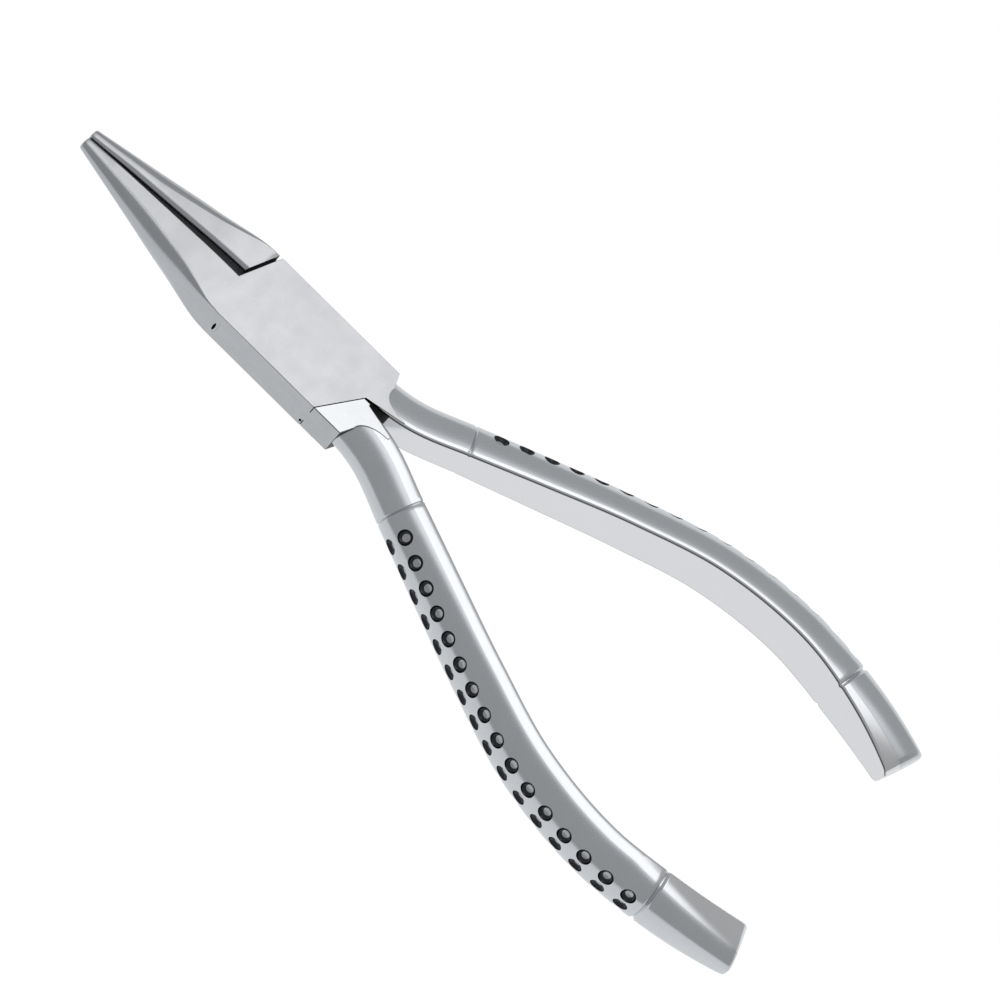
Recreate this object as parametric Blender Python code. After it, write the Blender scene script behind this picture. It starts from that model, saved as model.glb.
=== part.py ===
"""Box-joint orthodontic pliers with two round beaks and two dimpled handles.

Three pieces: the box half, the tongue half that turns inside it, and the pivot pin.
Lengths are in metres. +Y points to the tips, +Z to the viewer of the front cheek,
and the origin is on the pivot axis at the back cheek's face.
"""

import math

import bmesh
import bpy
from mathutils import Matrix, Vector

MM = 0.001
OBJECT = "orthodontic_pliers"
CUTTERS = "cutters"

# Box joint
BOX_WIDTH = 12.8 * MM
BOX_THICKNESS = 7.0 * MM
BOX_FRONT = 11.8 * MM
BOX_REAR = 11.7 * MM
BOX_EDGE = 0.25 * MM
TONGUE_THICKNESS = 3.1 * MM
TONGUE_RADIUS = 11.95 * MM
SLIDE_GAP = 0.06 * MM
SLOT_END_GAP = 0.3 * MM

# Pivot pin
PIN_DIAMETER = 5.0 * MM
PIN_GAP = 0.05 * MM
PIN_SEGMENTS = 48

# Seams between the halves, each a straight line at a distance from the pivot
FRONT_SEAM_DISTANCE = 12.4 * MM
FRONT_SEAM_ANGLE = math.radians(70.2)
FRONT_SEAM_GAP = 0.6 * MM
REAR_SEAM_DISTANCE = 9.18 * MM
REAR_SEAM_ANGLE = math.radians(238.4)
REAR_SEAM_GAP = 0.25 * MM
NOTCH_GAP = 0.3 * MM

# Beaks
BEAK_LENGTH = 29.1 * MM
BEAK_SHIFT_AT_TIP = 0.3 * MM
BEAK_SHIFT_AT_ROOT = 0.5 * MM
BEAK_TIP_DIAMETER = 1.7 * MM
BEAK_TIP_EDGE = 0.2 * MM
BEAK_GAP_AT_TIP = 0.12 * MM
BEAK_GAP_AT_ROOT = 1.3 * MM
BEAK_WIDTH_TAPER = 0.2085
BEAK_THICKNESS_TAPER = 0.107
BEAK_CONE_WIDTH_END = 15.5 * MM
BEAK_CONE_THICKNESS_END = 20.9 * MM
BEAK_ROUND_SHARE = 0.97
BEAK_INNER_EDGE = 0.25 * MM
BEAK_INNER_ROUND_START = 2.0 * MM
BEAK_INNER_ROUND_END = 14.0 * MM
BEAK_SIDE_ROUND_END = 19.0 * MM

# Beaks: distances back from the tip, with the reach of the outer rounding across the top
BEAK_SHOULDER = (
    (0.0, 0.83 * MM),
    (1.8 * MM, 1.05 * MM),
    (6.3 * MM, 1.5 * MM),
    (10.7 * MM, 1.95 * MM),
    (15.8 * MM, 2.1 * MM),
    (20.9 * MM, 1.8 * MM),
    (24.4 * MM, 1.1 * MM),
    (27.3 * MM, 0.3 * MM),
    (BEAK_LENGTH, 0.25 * MM),
)

# Handles: distances back from the pivot, with the sideways place of the middle line there
HANDLE_START = 9.5 * MM
HANDLE_END = 98.6 * MM
HANDLE_MIDDLE = (
    (HANDLE_START, 3.33 * MM),
    (17.0 * MM, 4.15 * MM),
    (25.5 * MM, 7.7 * MM),
    (36.0 * MM, 12.14 * MM),
    (48.0 * MM, 17.06 * MM),
    (61.0 * MM, 21.52 * MM),
    (75.0 * MM, 23.2 * MM),
    (87.0 * MM, 21.76 * MM),
    (HANDLE_END, 18.66 * MM),
)
HANDLE_LEAN = 0.33 * MM

# Handles: the D-shaped section, as widths and thicknesses at distances back
HANDLE_WIDTH = (
    (HANDLE_START, 5.95 * MM),
    (28.0 * MM, 5.9 * MM),
    (46.0 * MM, 5.7 * MM),
    (64.0 * MM, 5.85 * MM),
    (82.0 * MM, 6.2 * MM),
    (HANDLE_END, 6.9 * MM),
)
HANDLE_THICKNESS = (
    (HANDLE_START, 6.96 * MM),
    (21.0 * MM, 6.9 * MM),
    (33.0 * MM, 8.4 * MM),
    (46.0 * MM, 9.7 * MM),
    (60.0 * MM, 10.1 * MM),
    (75.0 * MM, 9.95 * MM),
    (HANDLE_END, 9.95 * MM),
)
NOSE_START = 80.0 * MM
END_THICKNESS = 6.0 * MM
INNER_FILLET = 0.8 * MM
END_FILLET = 0.5 * MM
CROWN_POWER = 2.25
NOSE_CROWN_POWER = 3.6

# Neck of the flat face, where the box runs out into the handle
NECK_FACE_LENGTH = 5.3 * MM
NECK_FACE_TUCK = 0.25 * MM
NECK_CORNER_SHARE = 0.67
NECK_CORNER_DROP = 0.9 * MM
NECK_STRIP_WIDTH_RIGHT = 0.6 * MM
NECK_STRIP_WIDTH_LEFT = 1.4 * MM

# Grip: two V grooves at distances back, and rows of dimples between them
GROOVE_FRONT = 25.1 * MM
GROOVE_REAR = 84.9 * MM
GROOVE_WIDTH = 0.7 * MM
GROOVE_DEPTH = 0.3 * MM
DIMPLE_COUNT = 16
DIMPLE_MARGIN_FRONT = 3.7 * MM
DIMPLE_MARGIN_REAR = 2.6 * MM
DIMPLE_DIAMETER = 2.3 * MM
DIMPLE_DEPTH = 0.65 * MM
DIMPLE_ROWS = (-1.0, 0.0, 1.0)
DIMPLE_ROW_HEIGHT_FRONT = 2.8 * MM
DIMPLE_ROW_HEIGHT_REAR = 2.6 * MM

# How finely curves are cut
TUCK = 0.02 * MM
WELD = 0.001 * MM
FLAT_ANGLE = math.radians(0.5)
SHARP_ANGLE = math.radians(30.0)
OVERLAP = 3.0 * MM
CUT_OVERSHOOT = 2.0 * MM
ARC_STEP_ANGLE = math.radians(3.5)
NECK_STEPS = 8
CORNER_STEPS = 5
FILLET_STEPS = 3
CROWN_STEPS = 16
BEAK_STATIONS = 16
HANDLE_STATION_STEP = 3.4 * MM
PATH_SAMPLES = 400
DIMPLE_SEGMENTS = 10
DIMPLE_RINGS = 8

HALF_WIDTH = BOX_WIDTH / 2
HALF_THICKNESS = BOX_THICKNESS / 2
MIDDLE_Z = HALF_THICKNESS
TIP_Y = BOX_FRONT + BEAK_LENGTH
SLOT_RADIUS = TONGUE_RADIUS + SLOT_END_GAP


def clear_scene():
    """Remove everything that the file starts with."""
    for old in list(bpy.data.objects):
        bpy.data.objects.remove(old, do_unlink=True)


def make_collection(name):
    collection = bpy.data.collections.new(name)
    bpy.context.scene.collection.children.link(collection)
    return collection


def make_material(name, colour, roughness, metallic=1.0):
    """A Principled material with the colour as linear red, green and blue."""
    material = bpy.data.materials.new(name)
    material.use_nodes = True
    shader = material.node_tree.nodes["Principled BSDF"]
    shader.inputs["Base Color"].default_value = (*colour, 1.0)
    shader.inputs["Roughness"].default_value = roughness
    shader.inputs["Metallic"].default_value = metallic
    return material


def add_object(name, mesh, collection):
    made = bpy.data.objects.new(name, mesh)
    collection.objects.link(made)
    if collection.name == CUTTERS:
        made.hide_render = True
        made.display_type = "WIRE"
    return made


def plate(name, outline, low, high, collection):
    """A flat outline, extruded from height low to height high."""
    curve = bpy.data.curves.new(name, "CURVE")
    curve.dimensions = "2D"
    curve.fill_mode = "BOTH"
    curve.extrude = (high - low) / 2
    spline = curve.splines.new("POLY")
    spline.points.add(len(outline) - 1)
    for point, (x, y) in zip(spline.points, outline):
        point.co = (x, y, 0.0, 1.0)
    spline.use_cyclic_u = True
    guide = bpy.data.objects.new(name + "_curve", curve)
    collection.objects.link(guide)
    guide.location.z = (low + high) / 2
    bpy.context.view_layer.update()
    evaluated = guide.evaluated_get(bpy.context.evaluated_depsgraph_get())
    mesh = bpy.data.meshes.new_from_object(evaluated)
    work = bmesh.new()
    work.from_mesh(mesh)
    bmesh.ops.remove_doubles(work, verts=work.verts, dist=WELD)
    bmesh.ops.dissolve_limit(work, angle_limit=FLAT_ANGLE, verts=work.verts, edges=work.edges)
    bmesh.ops.recalc_face_normals(work, faces=work.faces)
    work.to_mesh(mesh)
    work.free()
    made = add_object(name, mesh, collection)
    made.matrix_world = guide.matrix_world
    bpy.data.objects.remove(guide, do_unlink=True)
    return made


def loft(name, rings, collection):
    """Skin a row of rings that all have the same number of points, and cap both ends."""
    work = bmesh.new()
    rows = [[work.verts.new(point) for point in ring] for ring in rings]
    count = len(rows[0])
    for row, following in zip(rows, rows[1:]):
        for i in range(count):
            j = (i + 1) % count
            work.faces.new((row[i], row[j], following[j], following[i]))
    work.faces.new(rows[0])
    work.faces.new(rows[-1])
    bmesh.ops.recalc_face_normals(work, faces=work.faces)
    mesh = bpy.data.meshes.new(name)
    work.to_mesh(mesh)
    work.free()
    return add_object(name, mesh, collection)


def cylinder(name, radius, low, high, segments, collection):
    """A closed cylinder on the pivot axis, from height low to height high."""
    work = bmesh.new()
    bmesh.ops.create_cone(
        work,
        cap_ends=True,
        segments=segments,
        radius1=radius,
        radius2=radius,
        depth=high - low,
        matrix=Matrix.Translation((0.0, 0.0, (low + high) / 2)),
    )
    mesh = bpy.data.meshes.new(name)
    work.to_mesh(mesh)
    work.free()
    return add_object(name, mesh, collection)


def boolean(target, tool, operation):
    modifier = target.modifiers.new(operation.lower() + "_" + tool.name, "BOOLEAN")
    modifier.operation = operation
    modifier.solver = "EXACT"
    modifier.object = tool


def soften_rims(target):
    """Break the edges round the block's two flat faces, as grinding leaves them."""
    work = bmesh.new()
    work.from_mesh(target.data)
    rims = [edge for edge in work.edges if abs(edge.verts[0].co.z - edge.verts[1].co.z) < WELD]
    bmesh.ops.bevel(
        work,
        geom=rims,
        offset=BOX_EDGE,
        segments=2,
        profile=0.5,
        affect="EDGES",
        clamp_overlap=True,
    )
    work.to_mesh(target.data)
    work.free()


def smoothstep(low, high, value):
    share = min(max((value - low) / (high - low), 0.0), 1.0)
    return share * share * (3.0 - 2.0 * share)


def mix(first, second, share):
    return first + (second - first) * share


def hermite(start, end, start_slope, end_slope, share, span):
    """A cubic from start to end over a span, with the slope given at both ends."""
    squared = share * share
    cubed = squared * share
    return (
        start * (2 * cubed - 3 * squared + 1)
        + span * start_slope * (cubed - 2 * squared + share)
        + end * (3 * squared - 2 * cubed)
        + span * end_slope * (cubed - squared)
    )


def on_seam(x, angle, distance):
    """The Y of the line whose nearest point to the pivot lies at this angle and distance."""
    return (distance - x * math.cos(angle)) / math.sin(angle)


def beak_gap(back):
    """Width of the gap between the beaks, at a distance back from the tips."""
    return mix(BEAK_GAP_AT_TIP, BEAK_GAP_AT_ROOT, back / BEAK_LENGTH)


def beak_inner(back, side):
    """Sideways place of one beak's inner face: the gap's middle lies right of the pivot."""
    middle = mix(BEAK_SHIFT_AT_TIP, BEAK_SHIFT_AT_ROOT, back / BEAK_LENGTH)
    return middle + side * beak_gap(back) / 2


def eased(back, start, taper, straight_end, limit):
    """A straight taper from the tip that eases into the box's own size."""
    if back <= straight_end:
        return start + taper * back
    if back >= BEAK_LENGTH:
        return limit
    span = BEAK_LENGTH - straight_end
    share = (back - straight_end) / span
    return hermite(start + taper * straight_end, limit, taper, 0.0, share, span)


def beak_ring(back, side, inset=0.0):
    """Across one beak: round at the tip, flat-topped further back, square at the box."""
    inner = side * beak_inner(back, side) + inset
    tip_outer = BEAK_GAP_AT_TIP / 2 + BEAK_TIP_DIAMETER
    outer = eased(back, tip_outer, BEAK_WIDTH_TAPER, BEAK_CONE_WIDTH_END, HALF_WIDTH - TUCK)
    outer += side * BEAK_SHIFT_AT_TIP * max(1.0 - back / BEAK_LENGTH, 0.0) - inset
    half = eased(
        back,
        BEAK_TIP_DIAMETER / 2,
        BEAK_THICKNESS_TAPER,
        BEAK_CONE_THICKNESS_END,
        HALF_THICKNESS - TUCK,
    )
    half -= inset
    width = outer - inner
    squareness = smoothstep(BEAK_INNER_ROUND_START, BEAK_INNER_ROUND_END, back)
    radius = mix(BEAK_ROUND_SHARE * min(half, width / 2), BEAK_INNER_EDGE, squareness)
    across = curve_through(BEAK_SHOULDER, back) - inset
    across = min(across, BEAK_ROUND_SHARE * (width - radius))
    squareness = smoothstep(BEAK_SIDE_ROUND_END, BEAK_LENGTH, back)
    down = mix(BEAK_ROUND_SHARE * half, BOX_EDGE, squareness)
    corners = (
        (outer - across, half - down, across, down, 0.0),
        (inner + radius, half - radius, radius, radius, 90.0),
        (inner + radius, radius - half, radius, radius, 180.0),
        (outer - across, down - half, across, down, 270.0),
    )
    ring = []
    for corner_x, corner_z, reach_x, reach_z, first in corners:
        for step in range(CORNER_STEPS + 1):
            turn = math.radians(first + 90.0 * step / CORNER_STEPS)
            x = corner_x + reach_x * math.cos(turn)
            z = corner_z + reach_z * math.sin(turn)
            ring.append(Vector((side * x, TIP_Y - back, MIDDLE_Z + z)))
    return ring


def make_beak(name, side, collection):
    """One tapered beak, which starts inside the box block."""
    rings = [beak_ring(0.0, side, BEAK_TIP_EDGE)]
    rings.append(beak_ring(BEAK_TIP_EDGE, side))
    for station in range(1, BEAK_STATIONS + 1):
        back = mix(BEAK_TIP_EDGE, BEAK_LENGTH, station / BEAK_STATIONS)
        rings.append(beak_ring(back, side))
    root = beak_ring(BEAK_LENGTH, side)
    rings.append([point - Vector((0.0, OVERLAP, 0.0)) for point in root])
    return loft(name, rings, collection)


def curve_through(knots, place):
    """A smooth curve through (place, value) knots, its slopes taken from their neighbours."""
    index = 1
    while index < len(knots) - 1 and knots[index][0] < place:
        index += 1
    start, start_value = knots[index - 1]
    end, end_value = knots[index]
    span = end - start
    steepness = (end_value - start_value) / span
    last = len(knots) - 1
    start_slope = None if index == 1 else neighbour_slope(knots, index - 1)
    end_slope = None if index == last else neighbour_slope(knots, index)
    if start_slope is None:
        start_slope = 2 * steepness - end_slope
    if end_slope is None:
        end_slope = 2 * steepness - start_slope
    share = (place - start) / span
    return hermite(start_value, end_value, start_slope, end_slope, share, span)


def neighbour_slope(knots, index):
    """Slope at a knot, from the knot before it to the knot after it."""
    before, value_before = knots[index - 1]
    after, value_after = knots[index + 1]
    return (value_after - value_before) / (after - before)


def lean(back):
    """How far both handles lean sideways, at a distance back from the pivot."""
    return HANDLE_LEAN * (back - HANDLE_START) / (HANDLE_END - HANDLE_START)


def sample_path():
    """Points along the middle line, each with its distance from the handle's start."""
    samples = []
    travelled = 0.0
    previous = None
    for index in range(PATH_SAMPLES + 1):
        back = mix(HANDLE_START, HANDLE_END, index / PATH_SAMPLES)
        point = Vector((curve_through(HANDLE_MIDDLE, back), -back))
        if previous is not None:
            travelled += (point - previous).length
        samples.append((travelled, point))
        previous = point
    return samples


PATH = sample_path()
PATH_LENGTH = PATH[-1][0]


def path_frame(distance):
    """Place, outward direction and distance back at a distance along the middle line."""
    index = 1
    while index < PATH_SAMPLES and PATH[index][0] < distance:
        index += 1
    first_distance, first = PATH[index - 1]
    second_distance, second = PATH[index]
    share = (distance - first_distance) / (second_distance - first_distance)
    place = first.lerp(second, share)
    before = PATH[max(index - 2, 0)][1]
    after = PATH[min(index + 1, PATH_SAMPLES)][1]
    along = (after - before).normalized()
    outward = Vector((-along.y, along.x))
    return place, outward, -place.y


def path_distance(back):
    """Distance along the middle line to a place this far back from the pivot."""
    share = (back - HANDLE_START) / (HANDLE_END - HANDLE_START) * PATH_SAMPLES
    index = min(int(share), PATH_SAMPLES - 1)
    return mix(PATH[index][0], PATH[index + 1][0], share - index)


def section_size(back):
    """Width and half thickness of the handle's section, and the power of its crown."""
    width = curve_through(HANDLE_WIDTH, back)
    half = curve_through(HANDLE_THICKNESS, back) / 2
    nose = max((back - NOSE_START) / (HANDLE_END - NOSE_START), 0.0)
    half = mix(half, END_THICKNESS / 2, nose * nose)
    return width, half, mix(CROWN_POWER, NOSE_CROWN_POWER, nose)


def handle_ring(distance, side, groove=0.0, inset=0.0):
    """A D-shaped ring: flat inner face, filleted inner corners, crowned outer side."""
    place, outward, back = path_frame(distance)
    width, half, power = section_size(back)
    half -= inset + groove
    reach = width - 2 * inset - INNER_FILLET - groove
    corner = inset - width / 2 + INNER_FILLET
    profile = []
    for step in range(FILLET_STEPS):
        turn = math.pi + math.pi / 2 * step / FILLET_STEPS
        lateral = corner + INNER_FILLET * math.cos(turn)
        height = -(half - INNER_FILLET) + INNER_FILLET * math.sin(turn)
        profile.append((lateral, height))
    for step in range(CROWN_STEPS + 1):
        turn = -math.pi / 2 + math.pi * step / CROWN_STEPS
        lateral, height = crown_point(turn, reach, half, power)
        profile.append((corner + lateral, height))
    for step in range(1, FILLET_STEPS + 1):
        turn = math.pi / 2 + math.pi / 2 * step / FILLET_STEPS
        lateral = corner + INNER_FILLET * math.cos(turn)
        height = half - INNER_FILLET + INNER_FILLET * math.sin(turn)
        profile.append((lateral, height))
    ring = []
    for lateral, height in profile:
        spot = place + outward * lateral
        x = side * spot.x + lean(-spot.y)
        ring.append(Vector((x, spot.y, MIDDLE_Z + height)))
    return ring


def crown_point(turn, reach, half, power):
    """A point of the crowned outer side, a superellipse."""
    cosine = max(math.cos(turn), 0.0)
    sine = math.sin(turn)
    lateral = reach * cosine ** (2 / power)
    height = math.copysign(half * abs(sine) ** (2 / power), sine)
    return lateral, height


def handle_stations():
    """Distances of the rings along the handle, without those of the two grooves."""
    usable = PATH_LENGTH - END_FILLET
    steps = round(usable / HANDLE_STATION_STEP)
    stations = [usable * step / steps for step in range(steps + 1)]
    grooves = (path_distance(GROOVE_FRONT), path_distance(GROOVE_REAR))
    return [s for s in stations if all(abs(s - g) > GROOVE_WIDTH for g in grooves)]


def make_handle(name, side, collection):
    """One handle, from inside the box block to its rounded end."""
    rings = {station: handle_ring(station, side) for station in handle_stations()}
    for groove in (path_distance(GROOVE_FRONT), path_distance(GROOVE_REAR)):
        rings[groove - GROOVE_WIDTH / 2] = handle_ring(groove - GROOVE_WIDTH / 2, side)
        rings[groove] = handle_ring(groove, side, groove=GROOVE_DEPTH)
        rings[groove + GROOVE_WIDTH / 2] = handle_ring(groove + GROOVE_WIDTH / 2, side)
    rounding = END_FILLET * (1 - math.sqrt(0.5))
    rings[PATH_LENGTH - rounding] = handle_ring(PATH_LENGTH - rounding, side, inset=rounding)
    rings[PATH_LENGTH] = handle_ring(PATH_LENGTH, side, inset=END_FILLET)
    ordered = [rings[distance] for distance in sorted(rings)]
    return loft(name, ordered, collection)


def make_dimples(name, side, collection):
    """All the spheres that hollow one handle's dimples, in one cutter."""
    rim = DIMPLE_DIAMETER / 2
    radius = (rim * rim + DIMPLE_DEPTH * DIMPLE_DEPTH) / (2 * DIMPLE_DEPTH)
    first = path_distance(GROOVE_FRONT) + DIMPLE_MARGIN_FRONT
    last = path_distance(GROOVE_REAR) - DIMPLE_MARGIN_REAR
    work = bmesh.new()
    for index in range(DIMPLE_COUNT):
        share = index / (DIMPLE_COUNT - 1)
        place, outward, back = path_frame(mix(first, last, share))
        width, half, power = section_size(back)
        reach = width - INNER_FILLET
        row_height = mix(DIMPLE_ROW_HEIGHT_FRONT, DIMPLE_ROW_HEIGHT_REAR, share)
        for row in DIMPLE_ROWS:
            turn = row * math.asin((row_height / half) ** (power / 2))
            lateral, height = crown_point(turn, reach, half, power)
            across = (lateral / reach) ** (power - 1) / reach
            upward = row * (abs(height) / half) ** (power - 1) / half
            lean_angle = math.atan2(upward, across)
            lift = radius - DIMPLE_DEPTH
            lateral += INNER_FILLET - width / 2 + lift * math.cos(lean_angle)
            height += lift * math.sin(lean_angle)
            spot = place + outward * lateral
            normal = outward * math.cos(lean_angle)
            pole = Vector((side * normal.x, normal.y, math.sin(lean_angle)))
            x = side * spot.x + lean(-spot.y)
            centre = Vector((x, spot.y, MIDDLE_Z + height))
            turned = pole.to_track_quat("Z", "Y").to_matrix().to_4x4()
            bmesh.ops.create_uvsphere(
                work,
                u_segments=DIMPLE_SEGMENTS,
                v_segments=DIMPLE_RINGS,
                radius=radius,
                matrix=Matrix.Translation(centre) @ turned,
            )
    mesh = bpy.data.meshes.new(name)
    work.to_mesh(mesh)
    work.free()
    return add_object(name, mesh, collection)


def neck_outline(strip_width):
    """The flat face's rear corner, from the box's side round to the inside of the neck."""
    corner_x = HALF_WIDTH * NECK_CORNER_SHARE
    corner_y = -BOX_REAR - NECK_CORNER_DROP
    end_back = BOX_REAR + NECK_FACE_LENGTH
    middle = curve_through(HANDLE_MIDDLE, end_back)
    inner = middle - curve_through(HANDLE_WIDTH, end_back) / 2 + NECK_FACE_TUCK
    strip = inner + strip_width
    points = [(HALF_WIDTH, -BOX_REAR)]
    for step in range(NECK_STEPS + 1):
        turn = math.pi / 2 * step / NECK_STEPS
        x = corner_x - (corner_x - strip) * math.sin(turn)
        y = -end_back + (corner_y + end_back) * math.cos(turn)
        points.append((x, y))
    points.append((inner, -end_back))
    return points


def arc(start_angle, end_angle, radius):
    """Points of a round arc about the pivot."""
    steps = math.ceil(abs(end_angle - start_angle) / ARC_STEP_ANGLE)
    points = []
    for step in range(steps + 1):
        turn = mix(start_angle, end_angle, step / steps)
        points.append((radius * math.cos(turn), radius * math.sin(turn)))
    return points


def box_outline():
    """Outline of the box half's two cheeks and its neck, anticlockwise."""
    front = FRONT_SEAM_DISTANCE - FRONT_SEAM_GAP / 2
    rear = REAR_SEAM_DISTANCE - REAR_SEAM_GAP / 2
    root = beak_inner(BEAK_LENGTH, -1.0)
    notch = NOTCH_GAP / 2
    outline = [
        (HALF_WIDTH, on_seam(HALF_WIDTH, FRONT_SEAM_ANGLE, front)),
        (root, on_seam(root, FRONT_SEAM_ANGLE, front)),
        (-HALF_WIDTH, BOX_FRONT - TUCK),
        (-HALF_WIDTH, on_seam(-HALF_WIDTH, REAR_SEAM_ANGLE, rear)),
        (notch, on_seam(notch, REAR_SEAM_ANGLE, rear)),
    ]
    outline.extend(reversed(neck_outline(NECK_STRIP_WIDTH_RIGHT)))
    return outline


def tongue_outline():
    """Outline of the tongue half's block, anticlockwise, with round ends about the pivot."""
    root = beak_inner(BEAK_LENGTH, 1.0)
    side_turn = math.acos(HALF_WIDTH / TONGUE_RADIUS)
    front_turn = math.acos(root / TONGUE_RADIUS)
    rear_turn = -math.acos(-NOTCH_GAP / TONGUE_RADIUS)
    outline = [
        (HALF_WIDTH, BOX_FRONT - TUCK),
        (root, on_seam(root, FRONT_SEAM_ANGLE, FRONT_SEAM_DISTANCE)),
    ]
    outline.extend(arc(front_turn, math.pi - side_turn, TONGUE_RADIUS))
    outline.extend((-x, y) for x, y in neck_outline(NECK_STRIP_WIDTH_LEFT))
    outline.extend(arc(rear_turn, -side_turn, TONGUE_RADIUS))
    return outline


def slot_outline():
    """Outline of the slot between the cheeks: round about the pivot, open at the front seam."""
    root = beak_inner(BEAK_LENGTH, -1.0)
    side = HALF_WIDTH + CUT_OVERSHOOT
    front = BOX_FRONT + CUT_OVERSHOOT
    front_turn = math.acos(root / SLOT_RADIUS)
    outline = arc(front_turn, 2 * math.pi, SLOT_RADIUS)
    outline.extend([(side, 0.0), (side, front), (root, front)])
    return outline


def pocket_outline():
    """Outline of what is cut from the tongue half above and below its tongue."""
    front = FRONT_SEAM_DISTANCE + FRONT_SEAM_GAP / 2
    rear = REAR_SEAM_DISTANCE + REAR_SEAM_GAP / 2
    side = HALF_WIDTH + CUT_OVERSHOOT
    notch = -NOTCH_GAP / 2
    back = -BOX_REAR - NECK_FACE_LENGTH
    return [
        (side, on_seam(side, FRONT_SEAM_ANGLE, front)),
        (-side, on_seam(-side, FRONT_SEAM_ANGLE, front)),
        (-side, on_seam(-side, REAR_SEAM_ANGLE, rear)),
        (notch, on_seam(notch, REAR_SEAM_ANGLE, rear)),
        (notch, back),
        (side, back),
    ]


def finish(piece, material):
    piece.data.materials.clear()
    piece.data.materials.append(material)
    piece.data.shade_smooth()
    piece.data.set_sharp_from_angle(angle=SHARP_ANGLE)


def build_box_half(parts, cutters, material):
    """Left beak, the two cheeks with the slot between them, and the right handle."""
    piece = plate("box_half", box_outline(), 0.0, BOX_THICKNESS, parts)
    soften_rims(piece)
    boolean(piece, make_beak("left_beak", -1.0, cutters), "UNION")
    boolean(piece, make_handle("right_handle", 1.0, cutters), "UNION")
    slot_half = TONGUE_THICKNESS / 2 + SLIDE_GAP
    slot_low = MIDDLE_Z - slot_half
    slot_high = MIDDLE_Z + slot_half
    slot = plate("tongue_slot", slot_outline(), slot_low, slot_high, cutters)
    boolean(piece, slot, "DIFFERENCE")
    boolean(piece, pin_hole("cheek_holes", cutters), "DIFFERENCE")
    boolean(piece, make_dimples("right_dimples", 1.0, cutters), "DIFFERENCE")
    finish(piece, material)
    return piece


def build_tongue_half(parts, cutters, material):
    """Right beak, the tongue that fills the slot, and the left handle."""
    piece = plate("tongue_half", tongue_outline(), 0.0, BOX_THICKNESS, parts)
    soften_rims(piece)
    boolean(piece, make_beak("right_beak", 1.0, cutters), "UNION")
    boolean(piece, make_handle("left_handle", -1.0, cutters), "UNION")
    tongue_low = MIDDLE_Z - TONGUE_THICKNESS / 2
    tongue_high = MIDDLE_Z + TONGUE_THICKNESS / 2
    layers = (
        ("back_pocket", -CUT_OVERSHOOT, tongue_low),
        ("front_pocket", tongue_high, BOX_THICKNESS + CUT_OVERSHOOT),
    )
    for name, low, high in layers:
        boolean(piece, plate(name, pocket_outline(), low, high, cutters), "DIFFERENCE")
    boolean(piece, pin_hole("tongue_hole", cutters), "DIFFERENCE")
    boolean(piece, make_dimples("left_dimples", -1.0, cutters), "DIFFERENCE")
    finish(piece, material)
    return piece


def pin_hole(name, cutters):
    """A cutter for the pin's hole, with the running gap round the pin."""
    radius = PIN_DIAMETER / 2 + PIN_GAP
    low = -CUT_OVERSHOOT
    high = BOX_THICKNESS + CUT_OVERSHOOT
    return cylinder(name, radius, low, high, PIN_SEGMENTS, cutters)


def build_pivot_pin(parts, material):
    """The pin, ground flush with both cheeks."""
    piece = cylinder("pivot_pin", PIN_DIAMETER / 2, 0.0, BOX_THICKNESS, PIN_SEGMENTS, parts)
    finish(piece, material)
    return piece


def main():
    clear_scene()
    parts = make_collection(OBJECT)
    cutters = make_collection(CUTTERS)
    box_steel = make_material("box_half_steel", (0.60, 0.61, 0.63), 0.24)
    tongue_steel = make_material("tongue_half_steel", (0.60, 0.61, 0.63), 0.24)
    pin_steel = make_material("pivot_pin_steel", (0.55, 0.56, 0.58), 0.28)
    build_box_half(parts, cutters, box_steel)
    build_tongue_half(parts, cutters, tongue_steel)
    build_pivot_pin(parts, pin_steel)


main()
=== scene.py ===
"""Looks for box-joint orthodontic pliers: two forged steel halves and the pin that joins them.

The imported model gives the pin, the joint's thickness and the place of the beak tips, and the
settings give the rest. Lengths are in metres, +Y points to the beak tips, +Z comes out of the
front cheek, and the pivot axis is the Z axis.
"""

import math

import bmesh
import bpy
from bpy.props import FloatProperty, FloatVectorProperty, IntProperty, PointerProperty
from mathutils import Matrix, Vector


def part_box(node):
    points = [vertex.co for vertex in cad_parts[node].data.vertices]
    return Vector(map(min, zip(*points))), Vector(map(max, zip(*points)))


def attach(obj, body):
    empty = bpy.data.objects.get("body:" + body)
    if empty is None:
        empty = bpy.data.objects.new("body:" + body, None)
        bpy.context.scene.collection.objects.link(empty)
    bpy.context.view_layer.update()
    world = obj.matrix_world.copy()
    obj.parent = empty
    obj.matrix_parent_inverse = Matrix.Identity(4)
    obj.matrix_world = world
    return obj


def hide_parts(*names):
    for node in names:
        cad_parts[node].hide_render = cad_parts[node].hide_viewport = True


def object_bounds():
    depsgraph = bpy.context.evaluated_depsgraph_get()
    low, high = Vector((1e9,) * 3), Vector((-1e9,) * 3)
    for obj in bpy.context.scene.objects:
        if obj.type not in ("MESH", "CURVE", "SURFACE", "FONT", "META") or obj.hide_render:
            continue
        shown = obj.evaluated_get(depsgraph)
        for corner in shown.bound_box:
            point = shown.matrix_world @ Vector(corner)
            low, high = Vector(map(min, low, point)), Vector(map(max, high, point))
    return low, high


bl_info = {
    "name": "Box Joint Pliers",
    "version": (1, 0, 0),
    "blender": (4, 5, 0),
    "location": "View3D > Sidebar > Pliers",
    "description": "Builds box-joint pliers with round beaks and dimpled handles",
    "category": "Add Mesh",
}

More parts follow.
